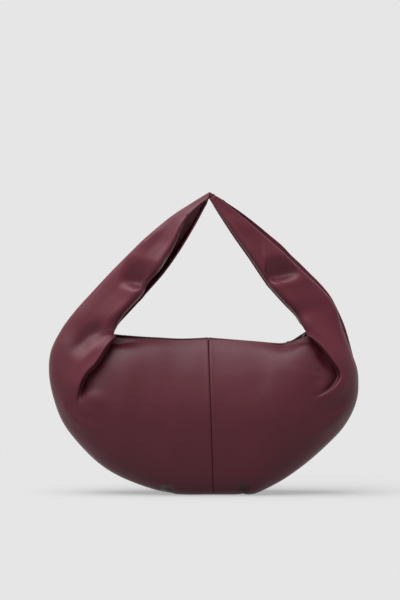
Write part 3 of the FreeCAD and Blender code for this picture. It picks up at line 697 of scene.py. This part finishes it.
def finishLayer(piece, material, thickness):
    # gives a sheet its thickness on the inside, then its material
    applyModifier(piece, "SOLIDIFY", thickness=thickness * mm, offset=-1)
    for polygon in piece.data.polygons:
        polygon.use_smooth = True
    piece.data.materials.append(material)


def joined(name, pieces):
    bpy.ops.object.select_all(action="DESELECT")
    for piece in pieces:
        piece.select_set(True)
    bpy.context.view_layer.objects.active = pieces[0]
    if len(pieces) > 1:
        bpy.ops.object.join()
    pieces[0].name = name
    pieces[0].data.name = name
    return pieces[0]


for quarter in quarters:
    points, tone = leatherSkin(quarter)
    # the tone, painted light and shade, goes on as the fold attribute
    piece = meshFromGrid(quarter + "Leather", points, tone)
    faceOutwards(piece, -1 if quarter.startswith("front") else 1)
    finishLayer(piece, maroonNappa, leather["thickness"])
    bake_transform(piece)
    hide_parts(*cadHalves[quarter])
print("leather cut and folded")

# what lies under the leather: rows and shares of the way across each quarter, depth and thickness in mm
inside = {
    "liningFront": {"of": (("frontLeft", (0, 8.2), (0.015, 0.9)), ("frontRight", (0, 9.4), (0.015, 0.9))),
                    "inset": 2.7, "thickness": 0.7, "material": cottonTwill, "slot": "cotton_lining",
                    "replaces": ["lining_front"]},
    "liningBack": {"of": (("backLeft", (0, 8.2), (0.015, 0.9)), ("backRight", (0, 9.4), (0.015, 0.9))),
                   "inset": 2.7, "thickness": 0.7, "material": cottonTwill, "slot": "cotton_lining",
                   "replaces": ["lining_back"]},
    "innerPocket": {"of": (("backLeft", (0, 2.4), (0.42, 0.72)), ("backRight", (0, 2.4), (0.42, 0.72))),
                    "inset": 4, "thickness": 0.7, "material": cottonTwill, "slot": "cotton_lining",
                    "replaces": ["inner_pocket"]},
    "frontSeamTape": {"of": (("frontLeft", (0, 0.16), (0.05, 0.9)), ("frontRight", (0, 0.18), (0.05, 0.9))),
                      "inset": 1.75, "thickness": 0.5, "material": nylonTape, "slot": "seam_tape",
                      "replaces": ["front_seam_tape"]},
    "backSeamTape": {"of": (("backLeft", (0, 0.16), (0.05, 0.9)), ("backRight", (0, 0.18), (0.05, 0.9))),
                     "inset": 1.75, "thickness": 0.5, "material": nylonTape, "slot": "seam_tape",
                     "replaces": ["back_seam_tape"]},
    "sideSeamTapeLeft": {"of": (("frontLeft", (2.5, 8.6), (0.03, 0.075)),
                                ("backLeft", (2.5, 8.6), (0.03, 0.075))),
                         "inset": 1.75, "thickness": 0.5, "material": nylonTape, "slot": "seam_tape",
                         "replaces": ["side_seam_tape_left"]},
    "sideSeamTapeRight": {"of": (("frontRight", (2.8, 9.6), (0.03, 0.075)),
                                 ("backRight", (2.8, 9.6), (0.03, 0.075))),
                          "inset": 1.75, "thickness": 0.5, "material": nylonTape, "slot": "seam_tape",
                          "replaces": ["side_seam_tape_right"]},
    "strapWebbingLeft": {"of": (("frontLeft", (12, 18.2), (0.36, 0.6)),), "inset": 5, "thickness": 1.6,
                         "material": webbing, "slot": "strap_webbing", "body": "strap",
                         "replaces": ["strap_webbing_left"]},
    "strapWebbingRight": {"of": (("frontRight", (13.5, 21.2), (0.36, 0.6)),), "inset": 5, "thickness": 1.6,
                          "material": webbing, "slot": "strap_webbing", "body": "strap",
                          "replaces": ["strap_webbing_right"]},
    "strapAnchorLeft": {"of": (("frontLeft", (8.3, 9.7), (0.1, 0.4)), ("backLeft", (8.3, 9.7), (0.1, 0.4))),
                        "inset": 1.6, "thickness": 0.9, "material": splitHide, "slot": "split_leather",
                        "replaces": ["strap_anchor_left"]},
    "strapAnchorRight": {"of": (("frontRight", (9.4, 11), (0.1, 0.4)), ("backRight", (9.4, 11), (0.1, 0.4))),
                         "inset": 1.6, "thickness": 0.9, "material": splitHide, "slot": "split_leather",
                         "replaces": ["strap_anchor_right"]},
}
for name, layer in inside.items():
    parts = []
    for quarter, alongRange, shareRange in layer["of"]:
        grid = innerLayer(quarter, alongRange, shareRange, layer["inset"])
        part = meshFromGrid(name + quarter, grid)
        faceOutwards(part, -1 if quarter.startswith("front") else 1)
        parts.append(part)
    piece = joined(name, parts)
    # weld the strips where they meet
    bpy.ops.object.mode_set(mode="EDIT")
    bpy.ops.mesh.select_all(action="SELECT")
    bpy.ops.mesh.remove_doubles(threshold=0.02 * mm)
    bpy.ops.object.mode_set(mode="OBJECT")
    finishLayer(piece, layer["material"], layer["thickness"])
    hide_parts(*layer["replaces"])
    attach(piece, layer.get("body", "bag"))
print("lining, tapes and patches made")

# zip tapes and the leather tabs over their ends: x range beyond the chain, y range, rise towards the leather
zipCloth = {"in": 2.9, "out": 15, "rise": 3.4, "past": 3.5, "tapeThickness": 0.8, "tabThickness": 1.3,
            "tabReach": (24, 15), "tabRise": (10.5, 16.5), "tabPower": 1.6, "tabHalf": 14,
            "tabLift": 0.8, "tabCurl": 1.5, "steps": (90, 12), "tabSteps": (30, 21)}


def clothPatch(name, xs, ys, height):
    grid = np.array([[(x, y, height(x, y)) for y in ys] for x in xs])
    made = meshFromGrid(name, grid)
    if sum(polygon.normal.z for polygon in made.data.polygons) < 0:
        made.data.flip_normals()
    return made


low, high = [[c / mm for c in corner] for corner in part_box("zip_teeth_front")]
chainHeight = (low[2] + high[2]) / 2
for sign, name, node in ((-1, "zipTapeFront", "zip_tape_front"), (1, "zipTapeBack", "zip_tape_back")):
    xs = np.linspace(low[0] - zipCloth["past"], high[0] + zipCloth["past"], zipCloth["steps"][0])
    ys = sign * np.linspace(zipCloth["in"], zipCloth["out"], zipCloth["steps"][1])
    span = zipCloth["out"] - zipCloth["in"]
    piece = clothPatch(name, xs, ys, lambda x, y: chainHeight + zipCloth["tapeThickness"] / 2
                       + zipCloth["rise"] * ((abs(y) - zipCloth["in"]) / span)**2)
    finishLayer(piece, zipTape, zipCloth["tapeThickness"])
    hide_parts(node)
    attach(piece, "bag")
for side, start, way in (("left", low[0] - zipCloth["past"], -1), ("right", high[0] + zipCloth["past"], 1)):
    reach, rise = [zipCloth[key][way > 0] for key in ("tabReach", "tabRise")]
    half = zipCloth["tabHalf"]
    xs = start + way * np.linspace(0, reach, zipCloth["tabSteps"][0])
    ys = np.linspace(-half, half, zipCloth["tabSteps"][1])
    piece = clothPatch("zipEndTab" + side.capitalize(), xs, ys, lambda x, y: chainHeight
                       + zipCloth["tabLift"] + rise * ((x - start) / (way * reach))**zipCloth["tabPower"]
                       + zipCloth["tabCurl"] * (y / half)**2)
    finishLayer(piece, maroonNappa, zipCloth["tabThickness"])
    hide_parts("zip_end_tab_" + side)
    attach(piece, "bag")
print("zip tapes and tabs made")

# the CAD's own pieces keep their shape
cadFinishes = {
    "base_board": fibreBoard, "zip_teeth_front": brassTeeth, "zip_teeth_back": brassTeeth,
    "zip_top_stops": brassTeeth, "zip_bottom_stop": brassTeeth, "zip_slider_body": gunmetal,
    "zip_slider_bail": gunmetal, "zip_pull": gunmetal,
}
for name, material in cadFinishes.items():
    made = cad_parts[name]
    for materialSlot in made.material_slots:
        materialSlot.material = material
print("zip finished")

# room, key and side are shares of the floor's light and add up to 1, so colours render as written;
# high, aside and soft are in degrees, and the floor's width in metres
studio = {"paper": "#e6e6e6", "paperBounce": "#949494", "paperGlow": 0.5, "floor": 12, "room": 0.13,
          "key": 0.8, "keyHigh": 74, "keyAside": -62, "keySoft": 60,
          "side": 0.07, "sideHigh": 34, "sideAside": -50, "sideSoft": 80}


def seenDirectly(tree):
    # 1 for rays that show the paper as it is: to the camera, through glass or in a gloss
    rays = addNode(tree, "ShaderNodeLightPath")
    seen = addNode(tree, "ShaderNodeMath", {"operation": "MAXIMUM"},
                   {0: rays.outputs["Is Camera Ray"], 1: rays.outputs["Is Transmission Ray"]})
    seenToo = addNode(tree, "ShaderNodeMath", {"operation": "MAXIMUM"},
                      {0: seen.outputs["Value"], 1: rays.outputs["Is Glossy Ray"]})
    return seenToo.outputs["Value"]


bpy.ops.object.select_all(action="DESELECT")
bpy.ops.mesh.primitive_plane_add(size=studio["floor"], location=(0, 0, 0))
floor = bpy.context.active_object
floor.name = "floor"
# matt paper sweep: no gloss, so only a faint soft shadow shows on it; it throws back less light than it shows
paper, tree = newMaterial("mattPaper")
lit = addNode(tree, "ShaderNodeBsdfDiffuse", {"Color": hexColour(studio["paper"])})
glow = addNode(tree, "ShaderNodeEmission", {"Color": hexColour(studio["paper"]), "Strength": 1.0})
shown = addNode(tree, "ShaderNodeMixShader", {0: studio["paperGlow"]},
                {1: lit.outputs["BSDF"], 2: glow.outputs["Emission"]})
bounce = addNode(tree, "ShaderNodeBsdfDiffuse", {"Color": hexColour(studio["paperBounce"])})
fibres = addNode(tree, "ShaderNodeMixShader", None,
                 {0: seenDirectly(tree), 1: bounce.outputs["BSDF"], 2: shown.outputs["Shader"]})
addNode(tree, "ShaderNodeOutputMaterial", None, {"Surface": fibres.outputs["Shader"]})
floor.data.materials.append(paper)

world = bpy.data.worlds.new("studio")
bpy.context.scene.world = world
world.use_nodes = True
tree = world.node_tree
tree.nodes.clear()
room = addNode(tree, "ShaderNodeBackground", {"Color": (1, 1, 1, 1), "Strength": studio["room"]})
backdrop = addNode(tree, "ShaderNodeBackground", {"Color": hexColour(studio["paper"]), "Strength": 1.0})
mixed = addNode(tree, "ShaderNodeMixShader", None,
                {0: seenDirectly(tree), 1: room.outputs["Background"], 2: backdrop.outputs["Background"]})
addNode(tree, "ShaderNodeOutputWorld", None, {"Surface": mixed.outputs["Shader"]})


def softLight(name, share, high, aside, soft):
    # share: how much of the floor's light it gives; high and aside in degrees, 0 aside is straight in front
    data = bpy.data.lights.new(name, "SUN")
    data.energy = share * math.pi / math.sin(math.radians(high))
    data.angle = math.radians(soft)
    lamp = bpy.data.objects.new(name, data)
    lamp.rotation_euler = (math.radians(90 - high), 0, math.radians(aside))
    bpy.context.collection.objects.link(lamp)


softLight("topSoftbox", studio["key"], studio["keyHigh"], studio["keyAside"], studio["keySoft"])
softLight("sideSoftbox", studio["side"], studio["sideHigh"], studio["sideAside"], studio["sideSoft"])
bpy.context.scene.view_settings.view_transform = "Standard"
print("studio set")
